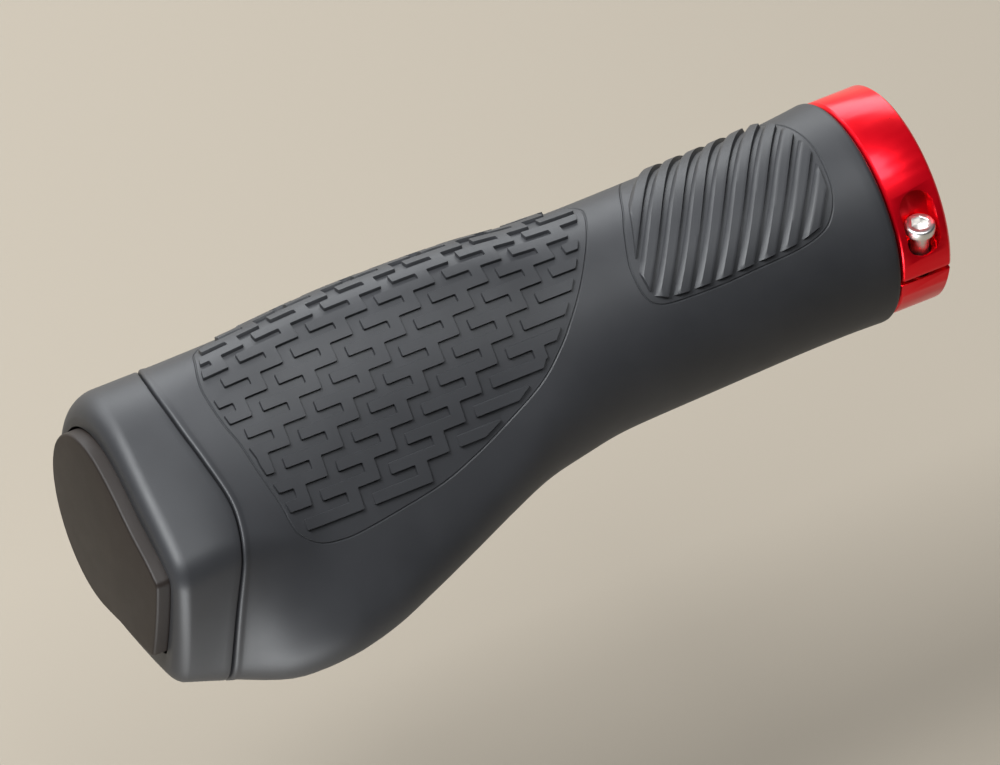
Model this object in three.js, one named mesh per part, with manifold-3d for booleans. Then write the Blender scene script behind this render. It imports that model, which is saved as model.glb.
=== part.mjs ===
import * as THREE from "three";
import { mergeVertices } from "three/addons/utils/BufferGeometryUtils.js";
import Module from "manifold-3d";

// A lock-on handlebar grip for the left end of the bar, in millimetres.
// X runs along the bar towards the stem, Y points away from the rider, Z is up, and the palm wing is at -Y.
// The origin is on the bar's axis at the clamp ring's inboard face.
// A station is a distance from the end plug's outer face, so X = station - gripLength.

// Overall sizes
const barDiameter = 22.2;
const gripLength = 138.6;
const fit = 0.3; // running gap between pieces that touch on the real grip

// End plug
const plugProud = 2.0;
const plugDepth = 2.2; // how far its flange is let into the end shell
const shoulder = 1.8; // the end shell's wall between the plug's flange and the sleeve
const plugChamfer = 0.35;
const plugRound = { y: -1.3, z: -2.6, r: 14.2 };
const plugWingY = -23.7;
const plugWingTop = 8.4;
const plugWingBottom = -9.0;
const plugCorner = 1.2;
const plugPinch = { y: -13.5, reach: 8, depth: 0.45 }; // its long sides are drawn in a little
const spigotRadius = 9.2;
const spigotWall = 1.8;
const spigotLength = 14;
const barbHeight = 0.35;
const barbCount = 3;

// End shell
const endRound = 2.6; // radius of its outer edge round the front
const wingRound = 4.6; // and round the wing
const wingShare = -0.27; // where the wing lies, as a share of the way round from the palm's datum line
const wingReach = 0.3; // the share of the way round over which it fades, to either side
const endLean = 0.06; // the end faces lean outboard towards the wing
const leanFadeFrom = 15;
const leanFadeLength = 45;
const seamStation = 13.2; // on average
const seamFadeLength = 20; // the body's sections are square to the bar again this far inboard
const seamBevel = 0.45;
const seamBevelWidth = 0.7;

// Sleeve
const sleeveClearance = 0.1; // between the bar and the sleeve's bore, per side
const sleeveWall = 1.6;
const seatWall = 0.75; // the sleeve is thinner where the clamp ring sits
const slotCount = 4;
const slotWidth = 2.0;
const slotLength = 12;

// Clamp ring
const ringWidth = 8.5;
const ringWall = 4.9;
const ringChamfer = 0.4;
const splitAngle = 178; // degrees from +Y over the top
const splitGap = 1.2;
const reliefAngle = 10; // the lower lug is planed flat over this much of the ring
const boltAngle = 174; // where the bolt's axis runs closest to the bar
const boltShare = 0.5; // how far out in the ring's wall the bolt's axis runs there
const scoopAngle = 146;
const scoopWidth = 5.7;
const scoopLength = 10.6;
const scoopShare = 0.4; // how far out in the ring's wall the scoop's floor lies

// Bolt
const boltRadius = 1.5;
const headRadius = 2.35;
const headHeight = 1.7;
const headTop = 7.9; // along the bolt from its closest point to the bar
const seatAt = 3.5;
const boltTip = -3.2;
const hexAcross = 2.5;
const hexDepth = 1.4;

// Rubber body
const flangeRound = 0.9; // its edge beside the clamp ring
const meltRadius = 0.5; // how far the arcs of a section melt into each other
const crestAngle = 74;
const palmNormal = 125; // the palm face squares to this direction

// Each row is one section of the body: its station, then four circles whose hull is the section.
// The last row lies at the body's inboard end, and the rows and pads stretch with the body's length.
// station, core y z r, crest distance r, heel y z r, tip y z r
const sections = [
  [2, -1.5, -2.7, 19.0, 4.0, 12.0, -21.8, 7.3, 5.3, -22.2, -9.2, 5.4],
  [12, -1.5, -2.7, 19.0, 4.0, 12.0, -21.0, 7.2, 5.3, -23.3, -11.3, 6.4],
  [20, -1.5, -2.4, 18.8, 6.0, 11.0, -20.8, 4.4, 5.4, -26.4, -10.9, 7.1],
  [28, -1.4, -2.0, 18.4, 8.0, 10.0, -20.5, 1.3, 5.5, -28.0, -9.1, 7.0],
  [36, -1.3, -1.8, 18.0, 9.2, 9.8, -19.0, 0.0, 5.8, -26.7, -8.3, 6.9],
  [44, -1.2, -1.5, 17.6, 9.6, 9.9, -17.0, -0.5, 6.2, -23.6, -7.4, 7.0],
  [52, -1.1, -1.3, 17.4, 9.6, 9.9, -14.5, -0.5, 7.0, -19.7, -6.0, 7.8],
  [60, -1.0, -1.1, 17.3, 9.0, 10.2, -10.5, 0.0, 8.5, -15.1, -4.4, 9.3],
  [68, -1.0, -0.9, 17.2, 7.6, 10.9, -7.0, 0.0, 11.0, -9.5, -2.3, 12.3],
  [76, -1.0, -0.8, 17.2, 5.0, 12.0, -3.5, 0.0, 13.5, -5.2, -1.6, 14.7],
  [86, -1.0, -0.8, 17.2, 3.0, 13.0, -1.0, 0.0, 14.5, -2.5, -1.0, 15.5],
  [100, -0.8, -0.7, 17.1, 2.0, 14.0, -1.0, 0.0, 14.5, -1.5, -0.7, 15.5],
  [115, -0.6, -0.4, 17.0, 2.0, 14.0, -1.0, 0.0, 14.5, -1.0, -0.5, 15.5],
  [124, -0.3, -0.2, 17.3, 2.0, 14.0, -1.0, 0.0, 14.5, -1.0, -0.3, 15.5],
  [129.8, -0.1, -0.1, 17.7, 2.0, 14.0, -1.0, 0.0, 14.5, -1.0, -0.2, 15.5],
];

// The seam's station round the section, by the share of the way round from the palm's datum line.
const seamCurve = [
  [-0.5, 12.6], [-0.36, 14.6], [-0.23, 15.4], [-0.14, 12.7], [-0.1, 12.2], [-0.05, 12.7], [0, 13.9],
  [0.06, 15.1], [0.115, 13.7], [0.175, 12.2], [0.25, 11.1], [0.32, 10.7], [0.5, 12.6],
];

// Palm pad: rows of raised bars joined by short links, in a stepped brick pattern.
// Pad outlines are points of station and distance round the section from the palm's datum line.
const brickUnit = 1.94;
const barUnits = 5;
const periodUnits = 6;
const linkFromUnits = 2; // the link's inboard side, counted back from the bar's inboard end
const rowDatum = -0.8;
const rowPitch = 3.05;
const rowGrowth = 0.03; // the rows open out towards the wing
const rowFirst = -8;
const rowLast = 5;
const rowShift = 3.92; // each row steps this far outboard of the row in front
const rowStart = 66.45;
const barWidth = 1.62;
const barRise = 0.5;
const linkRise = 0.45;
const linkInset = 0.08;
const relief = 0.8; // how deep raised shapes are rooted in the body
const palmMargin = { outboard: 0.6, inboard: 1.5, side: 0.9 };
const shortestBar = 1.2;
const palmOutline = [
  [18.9, -11], [19.6, -3.5], [21.5, 5], [23.4, 13.7], [26.5, 17.6], [31, 18.4], [41, 17.4], [53.7, 14.4],
  [64, 9.8], [73, 3.5], [80, -4.5], [84.8, -11.7], [87.2, -18], [84, -24], [70, -27], [48, -28], [30, -25],
  [21.5, -18],
];

// Thumb pad: slanted ribs, each with a long slope on its outboard side.
const ribCount = 10;
const ribLead = { outboard: -2.2, inboard: 4.5 }; // from the pad's ends to the first and the last rib
const ribSlant = -0.7;
const ribWidth = 2.4;
const ribSlope = 0.6;
const ribSteep = 0.2;
const ribRise = 0.7;
const narrowestRib = 0.9; // where the pad's outline trims it
const ribStep = 3;
const thumbMargin = 0.9;
const thumbOutline = [
  [88.2, 0.6], [91, 3.3], [100, 3.7], [107, 3.4], [114, 3.0], [119.5, 1.4], [122.1, -1.8], [123.4, -6],
  [123.6, -12], [122, -22], [118, -31], [111, -35], [104, -33], [98, -25.5], [92, -13.4], [88.6, -5],
];

// Fineness of the meshes
const ringPoints = 48;
const contourPoints = 360;
const roundPoints = 56;
const roundingSteps = 5;
const bodyStep = 5;

const barRadius = barDiameter / 2;
const boreRadius = barRadius + sleeveClearance;
const sleeveRadius = boreRadius + sleeveWall;
const seatRadius = boreRadius + seatWall;
const shellFace = plugProud;
const recessFloor = plugProud + plugDepth + fit;
const sleeveStart = recessFloor + shoulder + fit;
const ringStart = gripLength - ringWidth;
const ringBore = seatRadius + fit;
const ringRadius = ringBore + ringWall;
const boltOffset = ringBore + boltShare * ringWall;
const scoopFloor = ringBore + scoopShare * ringWall;
const bodyEnd = ringStart - fit;

const wasm = await Module();
wasm.setup();

const radians = THREE.MathUtils.degToRad;
const smooth = (t) => THREE.MathUtils.smoothstep(t, 0, 1);
const xAt = (station) => station - gripLength;
const stretch = bodyEnd / sections.at(-1)[0];

// A closed three.js geometry as a solid that can be joined and cut, and back again.
function solid(geometry) {
  const bare = geometry.clone();
  bare.deleteAttribute("normal");
  bare.deleteAttribute("uv");
  const merged = mergeVertices(bare, 1e-4);
  return new wasm.Manifold(
    new wasm.Mesh({
      numProp: 3,
      vertProperties: merged.attributes.position.array,
      triVerts: new Uint32Array(merged.index.array),
    }),
  );
}

function geometryOf(body) {
  const { vertProperties, triVerts } = body.getMesh();
  const geometry = new THREE.BufferGeometry();
  geometry.setAttribute("position", new THREE.BufferAttribute(vertProperties, 3));
  geometry.setIndex(new THREE.BufferAttribute(triVerts, 1));
  return geometry;
}

// A solid skin over rings of points that all run the same way round, closed by a fan at each end.
function loft(rings, centres) {
  const count = rings[0].length;
  const points = rings.flat().concat([centres[0], centres[1]]);
  const [first, last] = [rings.length * count, rings.length * count + 1];
  const faces = [];
  for (let j = 0; j < count; j++) {
    const k = (j + 1) % count;
    for (let i = 0; i + 1 < rings.length; i++) {
      const [a, b] = [i * count, (i + 1) * count];
      faces.push(a + j, a + k, b + k, a + j, b + k, b + j);
    }
    const end = (rings.length - 1) * count;
    faces.push(first, k, j, last, end + j, end + k);
  }
  const geometry = new THREE.BufferGeometry().setFromPoints(points);
  geometry.setIndex(faces);
  return solid(geometry);
}

// The hull of some circles, as the point where its edge faces a given direction.
function hullPoint(circles, angle, inset = 0) {
  const [c, s] = [Math.cos(angle), Math.sin(angle)];
  const reaches = circles.map(({ y, z, r }) => y * c + z * s + r);
  const most = Math.max(...reaches);
  const weights = reaches.map((reach) => Math.exp((reach - most) / meltRadius));
  const total = weights.reduce((sum, w) => sum + w, 0);
  const reach = most + meltRadius * Math.log(total) - inset;
  const turn = circles.reduce((sum, { y, z }, i) => sum + (weights[i] / total) * (z * c - y * s), 0);
  return { y: reach * c - turn * s, z: reach * s + turn * c, angle };
}

const sectionTable = new THREE.CubicInterpolant(
  sections.map((row) => row[0]),
  sections.flatMap((row) => row.slice(1)),
  sections[0].length - 1,
);

function circlesAt(station) {
  const inside = THREE.MathUtils.clamp(station / stretch, sections[0][0], sections.at(-1)[0]);
  const [cy, cz, cr, crest, crestR, hy, hz, hr, ty, tz, tr] = sectionTable.evaluate(inside);
  const a = radians(crestAngle);
  return [
    { y: cy, z: cz, r: cr },
    { y: crest * Math.cos(a), z: crest * Math.sin(a), r: crestR },
    { y: hy, z: hz, r: hr },
    { y: ty, z: tz, r: tr },
  ];
}

// The section's edge as evenly placed points, with the distance round it from the palm's datum line.
// The datum line is where the plane through the axis, square to the palm face, meets the skin.
const contours = new Map();
function contourAt(station) {
  const key = station.toFixed(3);
  if (contours.has(key)) return contours.get(key);
  const circles = circlesAt(station);
  const points = [];
  const turn = (2 * Math.PI) / contourPoints;
  for (let i = 0; i < contourPoints; i++) points.push(hullPoint(circles, i * turn));
  const a = radians(palmNormal);
  const side = ({ y, z }) => y * Math.sin(a) - z * Math.cos(a);
  const out = ({ y, z }) => y * Math.cos(a) + z * Math.sin(a);
  const next = (i) => points[(i + 1) % contourPoints];
  const start = points.findIndex((p, i) => side(p) >= 0 && side(next(i)) < 0 && out(p) > 0);
  const share = side(points[start]) / (side(points[start]) - side(next(start)));
  const distances = [0];
  for (let i = 0; i < contourPoints; i++) {
    const [p, q] = [points[i], next(i)];
    distances.push(distances[i] + Math.hypot(q.y - p.y, q.z - p.z));
  }
  const datum = distances[start] + share * (distances[start + 1] - distances[start]);
  const contour = { points, distances, datum, perimeter: distances[contourPoints] };
  contours.set(key, contour);
  return contour;
}

function sectionPoint(station, around) {
  const { points, distances, datum, perimeter } = contourAt(station);
  const at = THREE.MathUtils.euclideanModulo(datum + around, perimeter);
  let [low, high] = [0, contourPoints];
  while (high - low > 1) {
    const middle = (low + high) >> 1;
    if (distances[middle] <= at) low = middle;
    else high = middle;
  }
  const share = (at - distances[low]) / (distances[high] - distances[low]);
  const [p, q] = [points[low], points[high % contourPoints]];
  const angle = p.angle + (share * 2 * Math.PI) / contourPoints;
  return { y: p.y + share * (q.y - p.y), z: p.z + share * (q.z - p.z), angle };
}

const leanAt = (station) => endLean * (1 - smooth((station - leanFadeFrom) / leanFadeLength));

const seamTable = new THREE.CubicInterpolant(
  seamCurve.map(([share]) => share),
  seamCurve.map(([, station]) => station),
  1,
);

// How far the seam's wander carries a section's point along the bar.
function wander(station, share) {
  const outboard = (station - shellFace) / (seamStation - shellFace);
  const inboard = 1 - (station - seamStation) / seamFadeLength;
  const centred = share > 0.5 ? share - 1 : share;
  return (seamTable.evaluate(centred)[0] - seamStation) * smooth(Math.min(outboard, inboard));
}

// A point of the skin; rise is measured square to the section's edge.
function skinPoint(station, around, rise = 0) {
  const { y, z, angle } = sectionPoint(station, around);
  const [py, pz] = [y + rise * Math.cos(angle), z + rise * Math.sin(angle)];
  return new THREE.Vector3(xAt(station) + leanAt(station) * py, py, pz);
}

// A point of a pad, which stretches along the bar with the body.
const padPoint = (station, around, rise) => skinPoint(station * stretch, around, rise);

// The radius of the end shell's outer edge, which grows towards the wing.
function edgeRadius(share) {
  const centred = share > 0.5 ? share - 1 : share;
  const nearness = smooth(1 - Math.abs(centred - wingShare) / wingReach);
  return endRound + nearness * (wingRound - endRound);
}

// A ring of the skin; travel and draw carry it along and inwards by shares of the edge's radius.
function skinRing(station, inset, travel = 0, draw = 0) {
  return Array.from({ length: ringPoints }, (_, j) => {
    const share = j / ringPoints;
    const radius = edgeRadius(share);
    const from = station + travel * radius;
    const at = from + wander(from, share);
    return skinPoint(at, share * contourAt(at).perimeter, -inset - draw * radius);
  });
}

function axisPoint(station) {
  return new THREE.Vector3(xAt(station), 0, 0);
}

function skinLoft(stations) {
  const rings = stations.map((row) => skinRing(...row));
  return loft(rings, [axisPoint(stations[0][0]), axisPoint(stations.at(-1)[0])]);
}

// A quarter round as pairs of travel along the axis and inset.
function quarterRound(radius, steps) {
  return Array.from({ length: steps + 1 }, (_, i) => {
    const a = (i / steps) * (Math.PI / 2);
    return [radius * (1 - Math.cos(a)), radius * (1 - Math.sin(a))];
  });
}

// A turned solid about the bar's axis from a closed profile of station and radius.
function turned(profile, segments = roundPoints) {
  const points = profile.map(([station, radius]) => new THREE.Vector2(radius, xAt(station)));
  if (points.every((p) => p.x > 0)) points.push(points[0].clone());
  const geometry = new THREE.LatheGeometry(points, segments);
  geometry.rotateZ(-Math.PI / 2);
  const made = solid(geometry);
  return made.volume() > 0 ? made : solid(flipped(geometry));
}

function flipped(geometry) {
  const copy = geometry.clone();
  const index = copy.index.array;
  for (let i = 0; i < index.length; i += 3) [index[i + 1], index[i + 2]] = [index[i + 2], index[i + 1]];
  return copy;
}

function boreCut(radius, from, to) {
  return turned([[from, 0], [from, radius], [to, radius], [to, 0]]);
}

// The plug's outline, as the hull of its round front and its two wing corners.
function plugCircles() {
  return [
    plugRound,
    { y: plugWingY + plugCorner, z: plugWingTop - plugCorner, r: plugCorner },
    { y: plugWingY + plugCorner, z: plugWingBottom + plugCorner, r: plugCorner },
  ];
}

function pinch(y, z) {
  const off = Math.min(1, Math.abs(y - plugPinch.y) / plugPinch.reach);
  const wingMiddle = (plugWingTop + plugWingBottom) / 2;
  const middle = THREE.MathUtils.mapLinear(y, plugRound.y, plugWingY, plugRound.z, wingMiddle);
  return (-Math.sign(z - middle) * plugPinch.depth * (1 + Math.cos(Math.PI * off))) / 2;
}

function plugPrism(levels) {
  const circles = plugCircles();
  const ringAt = ([station, inset]) =>
    Array.from({ length: contourPoints / 4 }, (_, i) => {
      const { y, z } = hullPoint(circles, (i / (contourPoints / 4)) * 2 * Math.PI, inset);
      return new THREE.Vector3(xAt(station) + endLean * y, y, z + pinch(y, z));
    });
  return loft(levels.map(ringAt), [axisPoint(levels[0][0]), axisPoint(levels.at(-1)[0])]);
}

function endPlug() {
  const back = plugProud + plugDepth;
  const flange = plugPrism([[0, plugChamfer], [plugChamfer, 0], [back, 0]]);
  const spigotEnd = back + spigotLength;
  const profile = [[back - 1, 0], [back - 1, spigotRadius - barbHeight]];
  const pitch = spigotLength / (barbCount + 1);
  for (let i = 1; i <= barbCount; i++) {
    const at = back + i * pitch;
    profile.push([at - pitch / 3, spigotRadius - barbHeight], [at - pitch / 3, spigotRadius]);
    profile.push([at + pitch / 3, spigotRadius - barbHeight]);
  }
  profile.push([spigotEnd, spigotRadius - barbHeight], [spigotEnd, spigotRadius - spigotWall]);
  profile.push([back + spigotWall, spigotRadius - spigotWall], [back + spigotWall, 0]);
  return flange.add(turned(profile));
}

function endShell() {
  const rounding = quarterRound(1, roundingSteps).map(([travel, draw]) => [shellFace, 0, travel, draw]);
  const seam = seamStation - fit / 2;
  const middle = (shellFace + wingRound + seam) / 2;
  const shell = skinLoft([...rounding, [middle, 0], [seam, 0]]);
  const recess = plugPrism([[shellFace - 2 * wingRound, -fit], [recessFloor, -fit]]);
  return shell
    .subtract(recess)
    .subtract(boreCut(spigotRadius + fit, shellFace, sleeveStart))
    .subtract(boreCut(sleeveRadius + fit, recessFloor + shoulder, seamStation + endRound));
}

// The span of stations inside a closed outline at one distance round the section.
function outlineSpan(outline, around) {
  const curve = new THREE.CatmullRomCurve3(
    outline.map(([station, w]) => new THREE.Vector3(station, w, 0)),
    true,
  );
  const points = curve.getPoints(outline.length * 12);
  const crossings = [];
  for (let i = 0; i + 1 < points.length; i++) {
    const [a, b] = [points[i], points[i + 1]];
    if (a.y > around === b.y > around) continue;
    crossings.push(a.x + ((around - a.y) / (b.y - a.y)) * (b.x - a.x));
  }
  return crossings.length < 2 ? null : [Math.min(...crossings), Math.max(...crossings)];
}

// A raised block with four corners given as station and distance round, rooted in the body.
function block(corners, rise) {
  const level = (height) => corners.map(([station, around]) => padPoint(station, around, height));
  const [bottom, top] = [level(-relief), level(rise)];
  const middle = (points) =>
    points.reduce((sum, p) => sum.add(p), new THREE.Vector3()).divideScalar(points.length);
  const made = loft([bottom, top], [middle(bottom), middle(top)]);
  return made.volume() > 0 ? made : loft([top, bottom], [middle(top), middle(bottom)]);
}

const rowEdge = (row) => rowDatum + rowPitch * row + rowGrowth * row * row;

// A row's bars, or its links to the next row, trimmed to the pad's outline.
function rowPieces(row, from, to, near, far, rise) {
  const pieces = [];
  const spans = [near, far].map((around) => outlineSpan(palmOutline, around));
  const beyond = outlineSpan(palmOutline, far + palmMargin.side);
  if (!spans[0] || !spans[1] || !beyond) return pieces;
  const period = periodUnits * brickUnit;
  const first = rowStart - rowShift * row;
  const most = Math.ceil(gripLength / period);
  for (let n = -most; n <= most; n++) {
    const end = first + n * period;
    const ends = spans.map(([low, high]) => [
      Math.max(end + from, low + palmMargin.outboard),
      Math.min(end + to, high - palmMargin.inboard),
    ]);
    if (ends.some(([a, b]) => b - a < Math.min(shortestBar, (to - from) * 0.8))) continue;
    const corners = [[ends[0][0], near], [ends[0][1], near], [ends[1][1], far], [ends[1][0], far]];
    pieces.push(block(corners, rise));
  }
  return pieces;
}

function palmPad() {
  const pieces = [];
  for (let row = rowFirst; row <= rowLast; row++) {
    const edge = rowEdge(row);
    pieces.push(...rowPieces(row, -barUnits * brickUnit, 0, edge - barWidth, edge, barRise));
    if (row === rowLast) continue;
    const linkEnd = -linkFromUnits * brickUnit - linkInset;
    const nextBar = rowEdge(row + 1) - barWidth;
    const [near, far] = [edge - relief / 2, nextBar + relief / 2];
    pieces.push(...rowPieces(row, linkEnd - brickUnit + linkInset, linkEnd, near, far, linkRise));
  }
  return pieces;
}

// One slanted rib: its profile is carried round the section in short steps.
function rib(index) {
  const stations = thumbOutline.map((p) => p[0]);
  const distances = thumbOutline.map((p) => p[1]);
  const first = Math.min(...stations) + ribLead.outboard;
  const last = Math.max(...stations) - ribLead.inboard;
  const foot = first + (index / (ribCount - 1)) * (last - first);
  const rings = [];
  const [low, high] = [Math.min(...distances), Math.max(...distances)];
  const steps = Math.round((high - low) / ribStep);
  for (let i = 1; i < steps; i++) {
    const around = low + (i / steps) * (high - low);
    const edge = foot + ribSlant * around;
    const span = outlineSpan(thumbOutline, around);
    if (!span) continue;
    const right = Math.min(edge, span[1] - thumbMargin);
    const left = Math.max(edge - ribWidth, span[0] + thumbMargin);
    if (right - left < narrowestRib) continue;
    const profile = [
      [left, -relief],
      [left, 0],
      [left + Math.min(ribSlope, (right - left) / 2), ribRise],
      [right - ribSteep, ribRise],
      [right, 0],
      [right, -relief],
    ];
    rings.push(profile.map(([station, rise]) => padPoint(station, around, rise)));
  }
  const middle = (points) =>
    points.reduce((sum, p) => sum.add(p), new THREE.Vector3()).divideScalar(points.length);
  const ends = [middle(rings[0]), middle(rings.at(-1))];
  const made = loft(rings, ends);
  if (made.volume() > 0) return made;
  rings.reverse();
  return loft(rings, ends.reverse());
}

function gripRubber() {
  const start = seamStation + fit / 2;
  const stations = [[start, seamBevel], [start + seamBevelWidth, 0]];
  const flat = bodyEnd - flangeRound - stations[1][0];
  const steps = Math.round(flat / bodyStep);
  for (let i = 1; i < steps; i++) stations.push([stations[1][0] + (i / steps) * flat, 0]);
  const edge = quarterRound(flangeRound, 3).reverse();
  for (const [along, inset] of edge) stations.push([bodyEnd - along, inset]);
  const raised = palmPad();
  for (let i = 0; i < ribCount; i++) raised.push(rib(i));
  const body = wasm.Manifold.union([skinLoft(stations), ...raised]);
  return body.subtract(boreCut(sleeveRadius + fit, 0, gripLength));
}

function coreSleeve() {
  const step = ringStart - fit;
  const end = gripLength - fit;
  const sleeve = turned([
    [sleeveStart, boreRadius],
    [sleeveStart, sleeveRadius],
    [step, sleeveRadius],
    [step, seatRadius],
    [end, seatRadius],
    [end, boreRadius],
  ]);
  let cut = sleeve;
  for (let i = 0; i < slotCount; i++) {
    const slot = new THREE.BoxGeometry(2 * slotLength, sleeveRadius, slotWidth);
    slot.translate(xAt(end), sleeveRadius, 0);
    slot.rotateX(((i + 0.5) / slotCount) * 2 * Math.PI);
    cut = cut.subtract(solid(slot));
  }
  return cut;
}

// The bolt's own frame: its axis is tangential to the ring, with the head towards the top.
function alongBolt(geometry) {
  const a = radians(boltAngle);
  const axis = new THREE.Vector3(0, Math.sin(a), -Math.cos(a));
  const out = new THREE.Vector3(0, Math.cos(a), Math.sin(a));
  const across = new THREE.Vector3().crossVectors(out, axis);
  const frame = new THREE.Matrix4().makeBasis(out, axis, across);
  frame.setPosition(out.clone().multiplyScalar(boltOffset).setX(-ringWidth / 2));
  return geometry.applyMatrix4(frame);
}

function boltRod(radius, from, to, segments = 32) {
  const rod = new THREE.CylinderGeometry(radius, radius, to - from, segments);
  rod.translate(0, (from + to) / 2, 0);
  return solid(alongBolt(rod));
}

// The scoop that gives room for the head, sunk square to the ring's face.
function scoopCut() {
  const half = scoopWidth / 2;
  const straight = (scoopLength - scoopWidth) / 2;
  const shape = new THREE.Shape();
  shape.moveTo(half, -straight);
  shape.lineTo(half, straight);
  shape.absarc(0, straight, half, 0, Math.PI, false);
  shape.lineTo(-half, -straight);
  shape.absarc(0, -straight, half, Math.PI, 2 * Math.PI, false);
  const options = { depth: ringRadius, bevelEnabled: false, curveSegments: 16 };
  const cut = new THREE.ExtrudeGeometry(shape, options);
  const a = radians(scoopAngle);
  const out = new THREE.Vector3(0, Math.cos(a), Math.sin(a));
  const up = new THREE.Vector3(0, Math.sin(a), -Math.cos(a));
  const frame = new THREE.Matrix4().makeBasis(new THREE.Vector3().crossVectors(up, out), up, out);
  frame.setPosition(out.clone().multiplyScalar(scoopFloor).setX(-ringWidth / 2));
  return solid(cut.applyMatrix4(frame));
}

function clampRing() {
  const edge = ringRadius - ringChamfer;
  const ring = turned(
    [
      [ringStart, ringBore],
      [ringStart, edge],
      [ringStart + ringChamfer, ringRadius],
      [gripLength - ringChamfer, ringRadius],
      [gripLength, edge],
      [gripLength, ringBore],
    ],
    2 * roundPoints,
  );
  const split = new THREE.BoxGeometry(2 * ringWidth, ringRadius, splitGap);
  split.translate(0, ringRadius, 0);
  split.rotateX(radians(splitAngle));
  const planed = new THREE.BoxGeometry(2 * ringWidth, ringRadius, ringRadius);
  planed.translate(0, ringRadius * Math.cos(radians(reliefAngle)) + ringRadius / 2, ringRadius / 2);
  planed.rotateX(radians(splitAngle));
  return ring
    .subtract(solid(split))
    .subtract(solid(planed))
    .subtract(scoopCut())
    .subtract(boltRod(headRadius + fit, seatAt, ringRadius))
    .subtract(boltRod(boltRadius + fit, boltTip - fit, ringRadius, 24));
}

function clampBolt() {
  const chamfer = 0.25;
  const under = headTop - headHeight;
  const profile = [
    [0, boltTip],
    [boltRadius - chamfer, boltTip],
    [boltRadius, boltTip + chamfer],
    [boltRadius, under],
    [headRadius - chamfer, under],
    [headRadius, under + chamfer],
    [headRadius, headTop - chamfer],
    [headRadius - chamfer, headTop],
    [0, headTop],
  ];
  const turnedBolt = new THREE.LatheGeometry(
    profile.map(([radius, along]) => new THREE.Vector2(radius, along)),
    32,
  );
  const corner = hexAcross / Math.sqrt(3);
  const socket = new THREE.CylinderGeometry(corner, corner, 2 * hexDepth, 6);
  socket.translate(0, headTop, 0);
  return solid(alongBolt(turnedBolt)).subtract(solid(alongBolt(socket)));
}

function piece(name, body, colour, roughness, metalness) {
  const material = new THREE.MeshStandardMaterial({ color: colour, roughness, metalness });
  const mesh = new THREE.Mesh(geometryOf(body), material);
  mesh.name = name;
  return mesh;
}

const grip = new THREE.Group();
grip.add(piece("core_sleeve", coreSleeve(), 0x1c1c1e, 0.55, 0));
grip.add(piece("grip_rubber", gripRubber(), 0x3b3c3f, 0.7, 0));
grip.add(piece("end_shell", endShell(), 0x37383b, 0.6, 0));
grip.add(piece("end_plug", endPlug(), 0x2a2624, 0.5, 0));
grip.add(piece("clamp_ring", clampRing(), 0xc40d1c, 0.3, 0.8));
grip.add(piece("clamp_bolt", clampBolt(), 0xc8c8ca, 0.25, 1));

export default grip;
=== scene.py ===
"""The looks of a lock-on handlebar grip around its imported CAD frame, in Blender."""

import math

import bmesh
import bpy
import numpy as np
from mathutils import Matrix, Vector
from mathutils.geometry import delaunay_2d_cdt


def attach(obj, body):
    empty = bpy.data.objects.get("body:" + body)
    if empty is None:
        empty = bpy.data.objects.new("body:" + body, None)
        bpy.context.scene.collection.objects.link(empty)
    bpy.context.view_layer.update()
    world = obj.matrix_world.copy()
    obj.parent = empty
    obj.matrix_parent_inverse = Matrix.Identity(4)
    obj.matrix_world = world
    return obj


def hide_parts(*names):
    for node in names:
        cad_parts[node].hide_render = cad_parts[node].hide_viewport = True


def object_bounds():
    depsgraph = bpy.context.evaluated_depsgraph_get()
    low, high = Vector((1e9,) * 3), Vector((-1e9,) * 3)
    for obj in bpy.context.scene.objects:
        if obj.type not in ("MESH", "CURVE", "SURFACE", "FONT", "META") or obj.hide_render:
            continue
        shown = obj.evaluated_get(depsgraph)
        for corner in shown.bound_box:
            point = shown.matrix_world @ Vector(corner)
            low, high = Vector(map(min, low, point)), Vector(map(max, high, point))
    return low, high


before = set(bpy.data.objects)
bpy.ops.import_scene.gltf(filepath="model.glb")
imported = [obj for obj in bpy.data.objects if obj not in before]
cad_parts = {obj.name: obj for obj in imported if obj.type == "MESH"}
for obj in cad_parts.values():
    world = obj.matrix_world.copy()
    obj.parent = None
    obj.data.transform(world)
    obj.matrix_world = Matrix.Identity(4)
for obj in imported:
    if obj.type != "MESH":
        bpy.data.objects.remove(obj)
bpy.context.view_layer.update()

MM = 0.001

# The grip's own sizes in millimetres, as in the CAD part.
# A station is a distance along the bar from the plug's outer face.
LENGTH = 138.6
FIT = 0.3
SHELL_FACE = 2.0
RECESS_FLOOR = 4.5
SHOULDER = 1.8
END_ROUND = 2.6
WING_ROUND = 4.6
WING_SHARE = -0.27
WING_REACH = 0.3
END_LEAN = 0.06
LEAN_FADE_FROM = 15
LEAN_FADE_LENGTH = 45
SEAM = 13.2
SEAM_FADE = 20.0
SLEEVE_R = 12.8
SPIGOT_R = 9.2
SPIGOT_WALL = 1.8
SPIGOT_LENGTH = 14
BARB = 0.35
BARB_PITCH = 3.5
BARB_RUN = 1.17  # each barb's flank, and how far its step lies outboard of its place
PLUG_DEPTH = 2.2
BODY_END = 129.8
MELT = 0.5
CREST = math.radians(74)
PALM = math.radians(125)

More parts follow.
